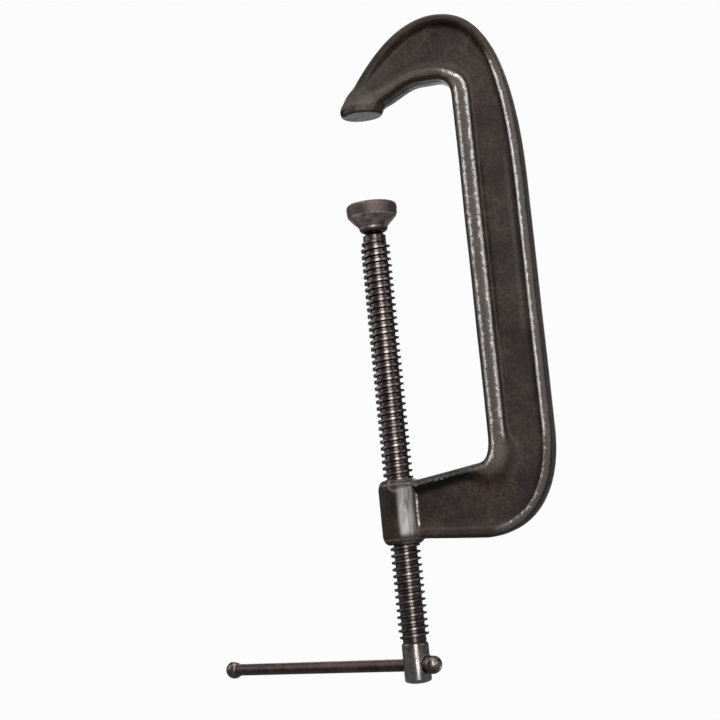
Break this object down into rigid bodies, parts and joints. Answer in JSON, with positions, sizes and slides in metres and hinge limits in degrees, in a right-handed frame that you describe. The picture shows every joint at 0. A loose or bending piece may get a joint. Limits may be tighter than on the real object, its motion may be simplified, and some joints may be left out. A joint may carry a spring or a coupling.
{
  "type": "c-clamp",
  "caption": "Deep-spined cast C-clamp hung jaw downwards: tapped boss, coarse screw with swivel pad on a ball end, and a sliding tommy bar with ball knobs.",
  "frame": {"origin": "middle of the fixed anvil's flat gripping face", "axes": "+Z along the screw, from the tommy bar towards the anvil; +X from the screw's axis towards the spine; Y across the frame's flanges"},
  "size_m": [0.2411, 0.0953, 0.3962],
  "materials": {
    "frame_iron": "dark brown-black baked finish over an as-cast surface, worn bright along the rims",
    "screw_steel": "black-oxide rolled thread with bright crests",
    "pad_steel": "black-oxide turned steel",
    "ring_steel": "plain spring steel",
    "bar_steel": "black-oxide drawn rod",
    "knob_steel": "black-oxide balls with a bright peened end"
  },
  "bodies": {
    "frame": {"frame": "frame_iron"},
    "pad_ring": {"pad_retaining_ring": "ring_steel"},
    "swivel_pad": {"swivel_pad": "pad_steel"},
    "screw": {"screw": "screw_steel"},
    "tommy_bar": {"tommy_bar": "bar_steel", "bar_knob_near": "knob_steel", "bar_knob_far": "knob_steel"}
  },
  "joints": [
    {"name": "screw_feed", "type": "slide", "parent": "frame", "child": "pad_ring", "axis": [0, 0, 1], "range_m": [-0.14802, 0.05202]},
    {"name": "screw_turn", "type": "hinge", "parent": "pad_ring", "child": "screw", "pos_m": [0, 0, -0.2], "axis": [0, 0, 1], "range_deg": [-13320, 4680]},
    {"name": "pad_tilt", "type": "hinge", "parent": "pad_ring", "child": "swivel_pad", "pos_m": [0, 0, -0.0644], "axis": [0, 1, 0], "range_deg": [-7, 7]},
    {"name": "bar_slide", "type": "slide", "parent": "screw", "child": "tommy_bar", "axis": [0.8829, -0.4695, 0], "range_m": [0, 0.1457]}
  ],
  "couplings": [
    {"joint": "screw_feed", "follows": "screw_turn", "m_per_rad": 0.00063662}
  ]
}
